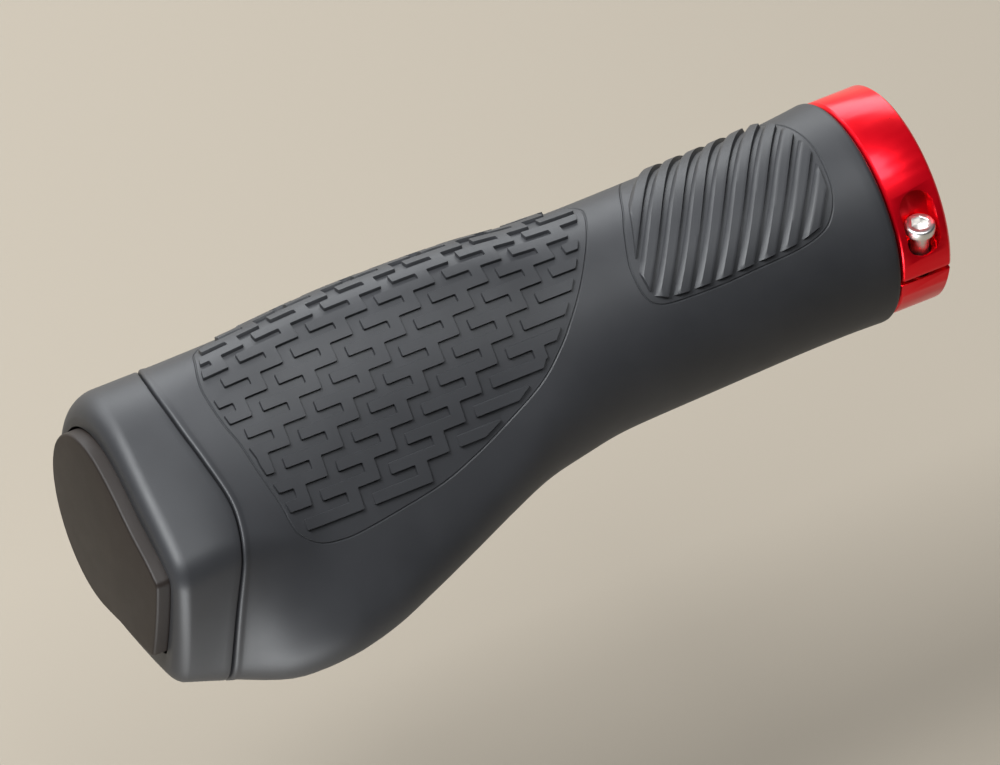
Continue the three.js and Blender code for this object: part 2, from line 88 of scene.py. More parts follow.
# station, core y z r, crest distance r, heel y z r, tip y z r
SECTIONS = np.array(
    [
        (2, -1.5, -2.7, 19.0, 4.0, 12.0, -21.8, 7.3, 5.3, -22.2, -9.2, 5.4),
        (12, -1.5, -2.7, 19.0, 4.0, 12.0, -21.0, 7.2, 5.3, -23.3, -11.3, 6.4),
        (20, -1.5, -2.4, 18.8, 6.0, 11.0, -20.8, 4.4, 5.4, -26.4, -10.9, 7.1),
        (28, -1.4, -2.0, 18.4, 8.0, 10.0, -20.5, 1.3, 5.5, -28.0, -9.1, 7.0),
        (36, -1.3, -1.8, 18.0, 9.2, 9.8, -19.0, 0.0, 5.8, -26.7, -8.3, 6.9),
        (44, -1.2, -1.5, 17.6, 9.6, 9.9, -17.0, -0.5, 6.2, -23.6, -7.4, 7.0),
        (52, -1.1, -1.3, 17.4, 9.6, 9.9, -14.5, -0.5, 7.0, -19.7, -6.0, 7.8),
        (60, -1.0, -1.1, 17.3, 9.0, 10.2, -10.5, 0.0, 8.5, -15.1, -4.4, 9.3),
        (68, -1.0, -0.9, 17.2, 7.6, 10.9, -7.0, 0.0, 11.0, -9.5, -2.3, 12.3),
        (76, -1.0, -0.8, 17.2, 5.0, 12.0, -3.5, 0.0, 13.5, -5.2, -1.6, 14.7),
        (86, -1.0, -0.8, 17.2, 3.0, 13.0, -1.0, 0.0, 14.5, -2.5, -1.0, 15.5),
        (100, -0.8, -0.7, 17.1, 2.0, 14.0, -1.0, 0.0, 14.5, -1.5, -0.7, 15.5),
        (115, -0.6, -0.4, 17.0, 2.0, 14.0, -1.0, 0.0, 14.5, -1.0, -0.5, 15.5),
        (124, -0.3, -0.2, 17.3, 2.0, 14.0, -1.0, 0.0, 14.5, -1.0, -0.3, 15.5),
        (129.8, -0.1, -0.1, 17.7, 2.0, 14.0, -1.0, 0.0, 14.5, -1.0, -0.2, 15.5),
    ],
    float,
)

# The seam's station by the share of the way round from the palm's datum line.
SEAM_CURVE = np.array(
    [
        (-0.5, 12.6), (-0.36, 14.6), (-0.23, 15.4), (-0.14, 12.7), (-0.1, 12.2), (-0.05, 12.7), (0, 13.9),
        (0.06, 15.1), (0.115, 13.7), (0.175, 12.2), (0.25, 11.1), (0.32, 10.7), (0.5, 12.6),
    ]
)

# y z r of the circles whose hull is the plug's outline
PLUG_CIRCLES = [(-1.3, -2.6, 14.2), (-22.5, 7.2, 1.2), (-22.5, -7.8, 1.2)]
PLUG_MIDDLE_Y = [-23.7, -1.3]
PLUG_MIDDLE_Z = [-0.3, -2.6]
PINCH_Y = -13.5
PINCH_REACH = 8
PINCH_DEPTH = 0.45


def pinch(y, z):
    """How far the plug's long sides are drawn in."""
    off = np.minimum(1, np.abs(y - PINCH_Y) / PINCH_REACH)
    middle = np.interp(y, PLUG_MIDDLE_Y, PLUG_MIDDLE_Z)
    return -np.sign(z - middle) * PINCH_DEPTH / 2 * (1 + np.cos(np.pi * off))


def smooth(t):
    t = np.clip(t, 0, 1)
    return t * t * (3 - 2 * t)


def spline(xs, ys, x):
    """A smooth curve through (xs, ys) with the slope between each point's neighbours."""
    x = min(max(x, xs[0]), xs[-1])
    i = int(np.clip(np.searchsorted(xs, x, side="right"), 1, len(xs) - 1))
    t0, t1 = xs[i - 1], xs[i]
    before, t_before = (i - 2, xs[i - 2]) if i >= 2 else (i, t1)
    after, t_after = (i + 1, xs[i + 1]) if i + 1 < len(xs) else (i - 1, t0)
    half = (t1 - t0) / 2
    wp, wn = half / (t0 - t_before), half / (t_after - t1)
    p = (x - t0) / (t1 - t0)
    pp, ppp = p * p, p * p * p
    return (
        (-wp * ppp + 2 * wp * pp - wp * p) * ys[before]
        + ((1 + wp) * ppp + (-1.5 - 2 * wp) * pp + (-0.5 + wp) * p + 1) * ys[i - 1]
        + ((-1 - wn) * ppp + (1.5 + wn) * pp + 0.5 * p) * ys[i]
        + (wn * ppp - wn * pp) * ys[after]
    )


def hull(circles, angle, inset=0.0):
    """Where the hull of some circles faces each angle, as (y, z)."""
    c, s = np.cos(angle), np.sin(angle)
    reach = np.stack([y * c + z * s + r for y, z, r in circles])
    turn = np.stack([z * c - y * s for y, z, r in circles])
    most = reach.max(0)
    share = np.exp((reach - most) / MELT)
    total = share.sum(0)
    out = most + MELT * np.log(total) - inset
    along = (share / total * turn).sum(0)
    return out * c - along * s, out * s + along * c


def circles_at(station):
    """The four circles, as (y, z, radius), whose hull is the section at a station."""
    v = spline(SECTIONS[:, 0], SECTIONS[:, 1:], station)
    crest = (v[3] * math.cos(CREST), v[3] * math.sin(CREST), v[4])
    return [tuple(v[0:3]), crest, tuple(v[5:8]), tuple(v[8:11])]


def lean(station):
    """How far the section leans outboard, per millimetre towards the wing."""
    return END_LEAN * (1 - smooth((station - LEAN_FADE_FROM) / LEAN_FADE_LENGTH))


STATION_STEP = 0.5
AROUND_STEP = 0.25
STATIONS = np.arange(1.5, 131.1, STATION_STEP)
AROUND = np.arange(-66, 140.1, AROUND_STEP)


def skin_tables():
    """y, z and facing angle of the skin over a fine grid of stations and distances, and the perimeters."""
    n = 720
    angle = np.arange(n) / n * 2 * np.pi
    ys, zs, facings, lengths = [], [], [], []
    for station in STATIONS:
        y, z = hull(circles_at(station), angle)
        side = y * math.sin(PALM) - z * math.cos(PALM)
        out = y * math.cos(PALM) + z * math.sin(PALM)
        after = np.roll(side, -1)
        k = int(np.nonzero((side >= 0) & (after < 0) & (out > 0))[0][0])
        edge = np.hypot(np.roll(y, -1) - y, np.roll(z, -1) - z)
        datum = edge[:k].sum() + side[k] / (side[k] - after[k]) * edge[k]
        run = np.concatenate([[0], np.cumsum(np.tile(edge, 3))])[:-1] - edge.sum() - datum
        ys.append(np.interp(AROUND, run, np.tile(y, 3)))
        zs.append(np.interp(AROUND, run, np.tile(z, 3)))
        turns = np.concatenate([angle - 2 * np.pi, angle, angle + 2 * np.pi])
        facings.append(np.interp(AROUND, run, turns))
        lengths.append(edge.sum())
    return np.array(ys), np.array(zs), np.array(facings), np.array(lengths)


SKIN_Y, SKIN_Z, SKIN_FACING, PERIMETER = skin_tables()


def perimeter(station):
    return np.interp(station, STATIONS, PERIMETER)


def skin(station, around, rise=0.0):
    """Points of the skin in metres, raised square to the section's edge."""
    station, around, rise = np.broadcast_arrays(
        np.asarray(station, float), np.asarray(around, float), np.asarray(rise, float)
    )
    a = np.clip((station - STATIONS[0]) / STATION_STEP, 0, len(STATIONS) - 1.001)
    b = np.clip((around - AROUND[0]) / AROUND_STEP, 0, len(AROUND) - 1.001)
    i, j = a.astype(int), b.astype(int)
    u, v = a - i, b - j

    def sample(grid):
        low = grid[i, j] * (1 - v) + grid[i, j + 1] * v
        high = grid[i + 1, j] * (1 - v) + grid[i + 1, j + 1] * v
        return low * (1 - u) + high * u

    facing = sample(SKIN_FACING)
    y = sample(SKIN_Y) + rise * np.cos(facing)
    z = sample(SKIN_Z) + rise * np.sin(facing)
    x = station - LENGTH + lean(station) * y
    return np.stack([x, y, z], -1) * MM


def seam_at(share):
    """The seam's station at each share of the way round."""
    share = (np.asarray(share, float) + 0.5) % 1.0 - 0.5
    found = [spline(SEAM_CURVE[:, 0], SEAM_CURVE[:, 1], s) for s in share.ravel()]
    return np.reshape(found, share.shape)


def warp(station, around):
    """The station at which a section's point really lies: sections follow the seam near it."""
    station, around = np.broadcast_arrays(np.asarray(station, float), np.asarray(around, float))
    wander = seam_at(around / perimeter(station)) - SEAM
    outboard = (station - SHELL_FACE) / (SEAM - SHELL_FACE)
    inboard = 1 - (station - SEAM) / SEAM_FADE
    return station + wander * smooth(np.minimum(outboard, inboard))


def closed_curve(points, per_edge=8):
    """A smooth closed curve through flat points."""
    p = np.array(points, float)
    t = np.arange(per_edge)[:, None] / per_edge
    out = []
    for i in range(len(p)):
        a, b, c, d = p[i - 1], p[i], p[(i + 1) % len(p)], p[(i + 2) % len(p)]
        bend = 2 * a - 5 * b + 4 * c - d
        twist = 3 * b - a - 3 * c + d
        out.append(0.5 * (2 * b + (c - a) * t + bend * t**2 + twist * t**3))
    return np.concatenate(out)


def area(loop):
    x, y = loop[:, 0], loop[:, 1]
    return 0.5 * np.sum(x * np.roll(y, -1) - np.roll(x, -1) * y)


def anticlockwise(loop):
    return loop[::-1] if area(loop) < 0 else loop


def inward(loop):
    """Each vertex's inward mitre, for a loop that runs anticlockwise."""
    e = np.roll(loop, -1, 0) - loop
    e /= np.maximum(np.hypot(e[:, 0], e[:, 1]), 1e-9)[:, None]
    n = np.stack([-e[:, 1], e[:, 0]], 1)
    before = np.roll(n, 1, 0)
    return (n + before) / np.maximum(1 + (n * before).sum(1), 0.35)[:, None]


def inset(loop, distance):
    """The loop moved inwards; distance is a number or a function of the inward normal."""
    n = inward(loop)
    d = distance(n) if callable(distance) else distance
    return loop + n * np.reshape(d, (-1, 1))


def inside(points, loop):
    """Which flat points lie in a closed loop."""
    x, y = points[:, 0], points[:, 1]
    found = np.zeros(len(points), bool)
    for (x0, y0), (x1, y1) in zip(loop, np.roll(loop, -1, 0)):
        if y0 == y1:
            continue
        crosses = (y0 > y) != (y1 > y)
        found ^= crosses & (x < (x1 - x0) * (y - y0) / (y1 - y0) + x0)
    return found


def joined(quads, clip, least_area):
    """The outlines of the joined quads inside a clip loop, each as an anticlockwise loop."""
    points, edges = [], []
    for loop in [*quads, clip]:
        start = len(points)
        points += [Vector(p) for p in loop]
        edges += [(start + i, start + (i + 1) % len(loop)) for i in range(len(loop))]
    verts, _, faces, _, _, _ = delaunay_2d_cdt(points, edges, [], 0, 1e-5, False)
    v = np.array([tuple(p) for p in verts])
    centres = np.array([v[list(f)].mean(0) for f in faces])
    kept = np.zeros(len(faces), bool)
    for q in quads:
        low, high = np.min(q, 0), np.max(q, 0)
        near = np.all((centres > low) & (centres < high), axis=1) & ~kept
        kept[near] |= inside(centres[near], np.array(q))
    kept &= inside(centres, clip)
    after = {}
    directed = set()
    for f, keep in zip(faces, kept):
        if not keep:
            continue
        f = list(f)
        if area(v[f]) < 0:
            f.reverse()
        directed.update(zip(f, f[1:] + f[:1]))
    for a, b in directed:
        if (b, a) not in directed:
            after.setdefault(a, []).append(b)
    loops = []
    while after:
        start = next(iter(after))
        loop, at = [start], start
        while True:
            options = after[at]
            following = options.pop()
            if not options:
                del after[at]
            if following == start or following not in after:
                break
            loop.append(following)
            at = following
        flat = tidy(without_short_edges(v[loop], 0.08))
        if len(flat) >= 3 and area(flat) > least_area:
            loops.append(flat)
    return loops


def without_short_edges(loop, shortest):
    """The loop with each run of very short edges drawn together."""
    kept = [loop[0]]
    for p in loop[1:]:
        if np.hypot(*(p - kept[-1])) > shortest:
            kept.append(p)
    if len(kept) > 3 and np.hypot(*(kept[-1] - kept[0])) < shortest:
        kept.pop()
    return np.array(kept)


def tidy(loop):
    """The loop without the points that lie on a straight line."""
    kept = loop
    for _ in range(3):
        a, c = np.roll(kept, 1, 0), np.roll(kept, -1, 0)
        u, w = kept - a, c - kept
        turn = np.abs(u[:, 0] * w[:, 1] - u[:, 1] * w[:, 0])
        reach = np.hypot(*u.T) + np.hypot(*w.T)
        keep = turn > 0.012 * reach
        if keep.all() or keep.sum() < 3:
            break
        kept = kept[keep]
    return kept


def rounded(loop, radius, longest):
    """The loop with its corners rounded and its long edges divided."""
    out = []
    n = len(loop)
    for i in range(n):
        a, b, c = loop[i - 1], loop[i], loop[(i + 1) % n]
        u, w = a - b, c - b
        lu, lw = np.hypot(*u), np.hypot(*w)
        cosine = np.dot(u, w) / (lu * lw)
        if cosine < -0.95:
            out.append(b)
            continue
        reach = radius * math.sqrt((1 + cosine) / max(1 - cosine, 1e-6))
        cut = min(reach, 0.42 * lu, 0.42 * lw)
        p, q = b + u / lu * cut, b + w / lw * cut
        for t in (0, 0.5, 1):
            out.append((1 - t) ** 2 * p + 2 * t * (1 - t) * b + t * t * q)
    out = np.array(out)
    filled = []
    for a, b in zip(out, np.roll(out, -1, 0)):
        steps = max(1, int(np.ceil(np.hypot(*(b - a)) / longest)))
        filled += [a + (b - a) * k / steps for k in range(steps)]
    return np.array(filled)


# The palm pad: rows of raised bars joined by short links.
PALM_OUTLINE = [
    (20.2, -16.4), (18.9, -12), (18.8, -8.4), (19.4, -4.1), (20.4, -0.7), (21.5, 4.9), (22.8, 10.2),
    (23.3, 13.5), (24.2, 15.7), (27, 17.7), (30.2, 18.3), (33.6, 18.3), (40.6, 17.4), (47.9, 16.2),
    (53.7, 14.4), (59.7, 11.9), (67.9, 7.7), (72.6, 3.9), (75.5, 0.9), (79.2, -3.4), (82.3, -7.6),
    (84.9, -11.7), (87, -16.2), (87.3, -19.5), (84.5, -24), (77, -26.4), (60, -28), (40, -27.4),
    (27, -24.5), (22, -20.6),
]
UNIT = 1.94
BAR_UNITS = 5
LINK_FROM_UNITS = 2
PERIOD = 6 * UNIT
ROW_DATUM = -0.8
ROW_PITCH = 3.05
ROW_GROWTH = 0.03
ROW_START = 66.45
ROW_SHIFT = 3.92
ROWS = range(-9, 7)
PERIODS = range(-14, 15)
BAR_WIDTH = 1.66
BAR_RISE = 0.56
LINK_ROOT = 0.5
PALM_MARGIN = 1.0
PALM_MARGIN_FALL = 0.35
SHORTEST_BAR = 1.3
SHORTEST_LINK = 0.85 * UNIT
LEAST_AREA = 1.4
BAR_CORNER = 0.2

# The thumb pad: slanted ribs.
THUMB_OUTLINE = [
    (88.4, -4.9), (88.0, -2.0), (88.3, 0.8), (89.6, 2.7), (92.5, 3.5), (100.1, 3.7), (107, 3.4),
    (114.1, 3.0), (118.6, 1.9), (121.0, -0.1), (122.7, -3.6), (123.5, -8.7), (123.6, -13), (122.5, -20),
    (120, -27), (116, -32.5), (109.5, -34.2), (103.5, -31.8), (98.5, -26.5), (95, -20), (92.1, -13.4),
    (90.4, -10),
]
THUMB_MARGIN = 0.9
FIRST_RIB = 86.2
RIB_PITCH = 3.656
RIB_FEET = [FIRST_RIB + RIB_PITCH * i for i in range(10)]
RIB_ENDS = (-36.0, 5.0)
RIB_SLANT = -0.7
RIB_WIDTH = 2.8
RIB_PROFILE = [(0, 0), (0.65, 0.58), (0.9, 0.7), (2.5, 0.7), (2.7, 0.65), (2.8, 0)]  # across and rise
RIB_TOP_LINES = (1.3, 1.7, 2.1)
RIB_CORNER = 0.15


def row_edge(k):
    """Where the wing side of row k's bars lies, round the section."""
    return ROW_DATUM + ROW_PITCH * k + ROW_GROWTH * k * k


def span_at(loop, height):
    """Where a closed loop begins and ends at one height, or nothing."""
    a, b = loop, np.roll(loop, -1, 0)
    crossing = (a[:, 1] > height) != (b[:, 1] > height)
    a, b = a[crossing], b[crossing]
    if len(a) < 2:
        return None
    x = a[:, 0] + (height - a[:, 1]) / (b[:, 1] - a[:, 1]) * (b[:, 0] - a[:, 0])
    return x.min(), x.max()


def trimmed(left, right, near, far, clip, shortest):
    """A block of the pattern cut straight where it would pass the clip loop, or nothing."""
    spans = [span_at(clip, near), span_at(clip, far)]
    if None in spans:
        return None
    (a, b), (d, c) = [(max(left, low), min(right, high)) for low, high in spans]
    if b - a < shortest or c - d < shortest:
        return None
    return [(a, near), (b, near), (c, far), (d, far)]


def brick_loops():
    """The palm pad's outline, and the outlines of its joined bars and links."""
    outline = anticlockwise(closed_curve(PALM_OUTLINE))
    clip = inset(outline, lambda n: PALM_MARGIN - PALM_MARGIN_FALL * np.clip(n[:, 0], -1, 1))
    quads = []
    for k in ROWS:
        edge = row_edge(k)
        near, far = edge - LINK_ROOT, row_edge(k + 1) - BAR_WIDTH + LINK_ROOT
        for n in PERIODS:
            end = ROW_START - ROW_SHIFT * k + n * PERIOD
            quads.append(trimmed(end - BAR_UNITS * UNIT, end, edge - BAR_WIDTH, edge, clip, SHORTEST_BAR))
            right = end - LINK_FROM_UNITS * UNIT
            quads.append(trimmed(right - UNIT, right, near, far, clip, SHORTEST_LINK))
    quads = [q for q in quads if q]
    loops = joined(quads, inset(outline, 0.2), LEAST_AREA)
    return outline, [without_short_edges(loop, 0.3) for loop in loops]


def rib_loops():
    """The thumb pad's outline, and the outlines of its ribs."""
    quads = []
    low, high = RIB_ENDS
    for foot in RIB_FEET:
        quads.append(
            [
                (foot + RIB_SLANT * low - RIB_WIDTH, low),
                (foot + RIB_SLANT * low, low),
                (foot + RIB_SLANT * high, high),
                (foot + RIB_SLANT * high - RIB_WIDTH, high),
            ]
        )
    outline = anticlockwise(closed_curve(THUMB_OUTLINE))
    clip = inset(outline, THUMB_MARGIN)
    return outline, [without_short_edges(loop, 0.5) for loop in joined(quads, clip, 2.0)]


def rib_lines(loop):
    """The height over a rib's outline as a function of place, and the lines along its profile."""
    middle = loop.mean(0)
    place = middle[0] - RIB_SLANT * middle[1]
    foot = next(foot for foot in RIB_FEET if foot - RIB_WIDTH <= place <= foot)
    start = foot - RIB_WIDTH
    across, rise = np.array(RIB_PROFILE).T
    heights_at = lambda p: np.interp(p[:, 0] - RIB_SLANT * p[:, 1] - start, across, rise)
    w = np.arange(*RIB_ENDS, 0.6)
    inner = inset(rounded(loop, RIB_CORNER, 1.0), 0.18)
    lines = []
    for step in (*across[1:-2], *RIB_TOP_LINES):
        line = np.stack([start + step + RIB_SLANT * w, w], 1)
        line = line[inside(line, inner)]
        if len(line) > 1:
            lines.append(line)
    return heights_at, lines


def near_segments(points, loops, reach):
    """Which points lie within reach of any loop's edges."""
    close = np.zeros(len(points), bool)
    for loop in loops:
        low, high = loop.min(0) - reach, loop.max(0) + reach
        pick = np.nonzero(np.all((points > low) & (points < high), axis=1) & ~close)[0]
        if not len(pick):
            continue
        p = points[pick][:, None, :]
        a, b = loop[None], np.roll(loop, -1, 0)[None]
        e = b - a
        t = np.clip(((p - a) * e).sum(2) / np.maximum((e * e).sum(2), 1e-12), 0, 1)
        gap = np.hypot(*np.moveaxis(p - a - e * t[..., None], 2, 0)).min(1)
        close[pick[gap < reach]] = True
    return close


def new_object(name, verts, faces):
    mesh = bpy.data.meshes.new(name)
    mesh.from_pydata([tuple(v) for v in verts], [], [tuple(f) for f in faces])
    bm = bmesh.new()
    bm.from_mesh(mesh)
    bmesh.ops.remove_doubles(bm, verts=bm.verts, dist=2e-6)
    bmesh.ops.dissolve_degenerate(bm, edges=bm.edges, dist=1e-7)
    bmesh.ops.recalc_face_normals(bm, faces=bm.faces)
    bm.to_mesh(mesh)
    bm.free()
    obj = bpy.data.objects.new(name, mesh)
    bpy.context.scene.collection.objects.link(obj)
    return obj


def shade(obj, degrees=30):
    obj.data.polygons.foreach_set("use_smooth", [True] * len(obj.data.polygons))
    obj.data.set_sharp_from_angle(angle=math.radians(degrees))


def strips(rings, offset=0):
    """Quads that join closed rings of equally many points, in order."""
    n = len(rings[0])
    faces = []
    for r in range(len(rings) - 1):
        a, b = offset + r * n, offset + (r + 1) * n
        for i in range(n):
            k = (i + 1) % n
            faces.append((a + i, a + k, b + k, b + i))
    return faces


# The flat layout runs between these distances round the section; both pads lie inside it.
FRONT_EDGE, BACK_EDGE = -38.0, 41.0
LIP = 0.4
BEAD = 0.14
BEAD_FADE = 0.9
SEAM_WALL = 2.5
FLANGE_ROUND = 1.0
# Each pair is a loop's distance inwards from the outline, and its height.
BAR_LOOPS = ((-0.16, 0), (-0.05, 0), (0, BAR_RISE - 0.06), (0.03, BAR_RISE), (0.15, BAR_RISE))
GROOVE_LOOPS = ((-0.4, 0.0), (-0.2, 0.0), (-0.04, -0.16), (0.04, -0.16), (0.18, 0.0), (0.3, 0.0))


def rubber_body():
    """The rubber body: a flat layout with both pads, laid onto the skin, then closed round the sleeve."""
    first = SEAM + FIT / 2 + LIP
    last = BODY_END - FLANGE_ROUND
    rows = np.concatenate([first + np.array([0, 0.25, 0.5, 0.75, 1.0]), np.linspace(first + 1.7, last, 76)])
    bead = BEAD * (1 - smooth((rows - first) / BEAD_FADE))
    columns = np.linspace(FRONT_EDGE, BACK_EDGE, 68)
    far_count = 26

    palm_outline, bars = brick_loops()
    thumb_outline, ribs = rib_loops()
    points, heights, edges = [], [], []

    def add_loop(loop, height, closed=True):
        start = len(points)
        points.extend(loop.tolist())
        heights.extend(np.broadcast_to(height, len(loop)).tolist())
        count = len(loop)
        edges.extend((start + i, start + (i + 1) % count) for i in range(count if closed else count - 1))

    walls = []
    for loop in bars:
        walls.append(loop)
        base = rounded(loop, BAR_CORNER, 1.5)
        for distance, height in BAR_LOOPS:
            add_loop(inset(base, distance), height)
    for loop in ribs:
        walls.append(loop)
        base = rounded(loop, RIB_CORNER, 1.0)
        top = inset(base, 0.1)
        heights_at, lines = rib_lines(loop)
        add_loop(base, 0.0)
        add_loop(top, heights_at(top))
        for line in lines:
            add_loop(line, heights_at(line), closed=False)
    for outline in (palm_outline, thumb_outline):
        for distance, height in GROOVE_LOOPS:
            add_loop(inset(outline, distance), height)

    # The domain's edge runs along the seam, then the flange, with straight sides.
    sides = [(warp(rows, w), np.full(len(rows), w)) for w in (FRONT_EDGE, BACK_EDGE)]
    start_edge = np.stack([warp(np.full(len(columns), first), columns), columns], 1)
    end_edge = np.stack([np.full(len(columns), last), columns], 1)
    rim = [start_edge, np.stack(sides[1], 1)[1:], end_edge[::-1][1:], np.stack(sides[0], 1)[::-1][1:-1]]
    border = np.concatenate(rim)
    at_seam, at_flange = np.full(len(columns), BEAD), np.zeros(len(columns) - 1)
    add_loop(border, np.concatenate([at_seam, bead[1:], at_flange, bead[::-1][1:-1]]))

    grid_s, grid_w = np.meshgrid(rows[1:-1], columns[1:-1], indexing="ij")
    grid = np.stack([warp(grid_s, grid_w).ravel(), grid_w.ravel()], 1)
    clear = ~near_segments(grid, walls, 0.42) & ~near_segments(grid, [palm_outline, thumb_outline], 0.7)
    grid = grid[clear]
    level = np.repeat(bead[1:-1], len(columns) - 2)[clear]
    for loop in ribs:
        keep = ~inside(grid, loop)
        grid, level = grid[keep], level[keep]
    for loop in bars:
        low, high = loop.min(0), loop.max(0)
        pick = np.nonzero(np.all((grid > low) & (grid < high), axis=1))[0]
        level[pick[inside(grid[pick], loop)]] = BAR_RISE
    points.extend(grid.tolist())
    heights.extend(level.tolist())

    verts, _, faces, origins, _, _ = delaunay_2d_cdt([Vector(p) for p in points], edges, [], 0, 1e-6, True)
    flat = np.array([tuple(v) for v in verts])
    centres = np.array([flat[list(f)].mean(0) for f in faces])
    faces = [f for f, keep in zip(faces, inside(centres, border)) if keep]
    height = np.zeros(len(flat))
    known = np.array(points)
    for i, origin in enumerate(origins):
        if origin:
            height[i] = heights[origin[0]]
        else:
            height[i] = heights[int(np.argmin(((known - flat[i]) ** 2).sum(1)))]
    shell_points = [skin(flat[:, 0], flat[:, 1], height)]
    all_faces = [tuple(f) for f in faces]
    count = len(flat)

    # The far side is a plain grid between the two straight sides.
    t = np.linspace(0, 1, far_count + 1)
    far = []
    for row, height_here in zip(rows, bead):
        span = perimeter(row) - BACK_EDGE + FRONT_EDGE
        w = BACK_EDGE + t * span
        s = warp(np.full(len(w), row), w)
        s[0], s[-1] = warp(row, BACK_EDGE), warp(row, FRONT_EDGE)
        p = skin(s, w, height_here)
        p[-1] = skin(s[-1], FRONT_EDGE, height_here)
        far.append(p)
    shell_points.append(np.concatenate(far))
    width = far_count + 1
    for r in range(len(rows) - 1):
        for i in range(far_count):
            a = count + r * width + i
            all_faces.append((a, a + 1, a + 1 + width, a + width))
    count += len(rows) * width

    # Lips at both ends, and the bore.
    def lip(station, depth, seam_side):
        span = perimeter(first if seam_side else last) - BACK_EDGE + FRONT_EDGE
        w = np.concatenate([columns, BACK_EDGE + t[1:-1] * span])
        s = np.full(len(w), station)
        if seam_side:
            s = warp(np.full(len(w), first), w) - first + station
        return skin(s, w, -depth)

    def bore(station, base):
        direction = base[:, 1:] / np.linalg.norm(base[:, 1:], axis=1)[:, None]
        ring = np.empty_like(base)
        ring[:, 0] = (station - LENGTH) * MM
        ring[:, 1:] = direction * (SLEEVE_R + FIT) * MM
        return ring

    steps = np.linspace(0, math.pi / 2, 5)
    seam_rings = [lip(first - LIP * math.sin(a), LIP * (1 - math.cos(a)) - BEAD, True) for a in steps]
    seam_rings.append(lip(first - LIP, SEAM_WALL, True))
    seam_rings.append(bore(first, seam_rings[-1]))
    end_rings = []
    for a in steps:
        end_rings.append(lip(last + FLANGE_ROUND * math.sin(a), FLANGE_ROUND * (1 - math.cos(a)), False))
    end_rings.append(bore(BODY_END, end_rings[-1]))
    tube = [seam_rings[-1], end_rings[-1]]
    for rings in (seam_rings, end_rings, tube):
        shell_points.append(np.concatenate(rings))
        all_faces += strips(rings, count)
        count += len(rings) * len(rings[0])
    obj = new_object("rubber_body", np.concatenate(shell_points), all_faces)
    shade(obj, 30)
    return obj


def share_facing(count, station):
    """The directions that evenly spaced points of a section face, from the palm's datum line."""
    around = np.arange(count) / count * perimeter(station)
    row = int((station - STATIONS[0]) / STATION_STEP)
    return np.interp(around, AROUND, SKIN_FACING[row])


def plug_ring(facing, station, depth):
    """The plug's outline at one level; depth is measured inwards."""
    y, z = hull(PLUG_CIRCLES, facing, depth)
    x = station - LENGTH + END_LEAN * y
    return np.stack([x, y, z + pinch(y, z)], 1) * MM


def circle(facing, station, radius):
    """A circle about the bar's axis."""
    x = np.full(len(facing), station - LENGTH)
    return np.stack([x, radius * np.cos(facing), radius * np.sin(facing)], 1) * MM


def edge_radius(share):
    """The radius of the end shell's outer edge, which grows towards the wing."""
    centred = np.where(share > 0.5, share - 1, share)
    return END_ROUND + (WING_ROUND - END_ROUND) * smooth(1 - np.abs(centred - WING_SHARE) / WING_REACH)


def end_cap():
    """The end shell with its full round edge, the plug's recess and the sleeve's pocket."""
    n = 240
    share = np.arange(n) / n
    facing = share_facing(n, 7.0)
    radius = edge_radius(share)

    def ring(station, depth, straight=False):
        around = share * perimeter(station)
        at = warp(station, around)
        if straight:
            at = station + seam_at(share) - SEAM
        return skin(at, share * perimeter(at), -depth)

    seam = SEAM - FIT / 2
    rings = [
        plug_ring(facing, RECESS_FLOOR, -FIT),
        plug_ring(facing, SHELL_FACE + 0.6, -FIT),
        plug_ring(facing, SHELL_FACE + 0.2, -FIT - 0.12),
    ]
    for a in np.linspace(math.radians(15), math.pi / 2, 14):
        rings.append(ring(SHELL_FACE + radius * (1 - math.cos(a)), radius * (1 - math.sin(a))))
    for t in np.linspace(0, 1, 9)[1:]:
        rings.append(ring((SHELL_FACE + radius) * (1 - t) + (seam - 0.35) * t, 0.0))
    rings += [ring(seam - 0.12, 0.06, True), ring(seam, 0.22, True), ring(seam, 2.6, True)]
    rings += [
        circle(facing, seam, SLEEVE_R + FIT),
        circle(facing, RECESS_FLOOR + SHOULDER, SLEEVE_R + FIT),
        circle(facing, RECESS_FLOOR + SHOULDER, SPIGOT_R + FIT),
        circle(facing, RECESS_FLOOR - 0.4, SPIGOT_R + FIT),
        plug_ring(facing, RECESS_FLOOR, -FIT),
    ]
    obj = new_object("end_cap", np.concatenate(rings), strips(rings))
    shade(obj, 40)
    return obj


def bung():
    """The end plug: a flat face with a fine edge, its flange, and the barbed spigot behind it."""
    n = 240
    facing = share_facing(n, 7.0)
    back = SHELL_FACE + PLUG_DEPTH
    edge = [(0.0, 0.42), (0.03, 0.3), (0.12, 0.14), (0.3, 0.03), (0.5, 0.0), (back, 0.0)]
    rings = [plug_ring(facing, station, depth) for station, depth in edge]
    neck = SPIGOT_R - BARB
    inner = SPIGOT_R - SPIGOT_WALL
    profile = [(back, neck)]
    for i in (1, 2, 3):
        at = back + i * BARB_PITCH
        profile += [(at - BARB_RUN, neck), (at - BARB_RUN, SPIGOT_R), (at + BARB_RUN, neck)]
    end = back + SPIGOT_LENGTH
    profile += [(end, neck), (end, inner), (back + SPIGOT_WALL, inner)]
    rings += [circle(facing, station, radius) for station, radius in profile]
    faces = strips(rings)
    faces += [tuple(range(n)), tuple((len(rings) - 1) * n + i for i in range(n))]
    obj = new_object("end_bung", np.concatenate(rings), faces)
    shade(obj, 40)
    return obj


# Materials


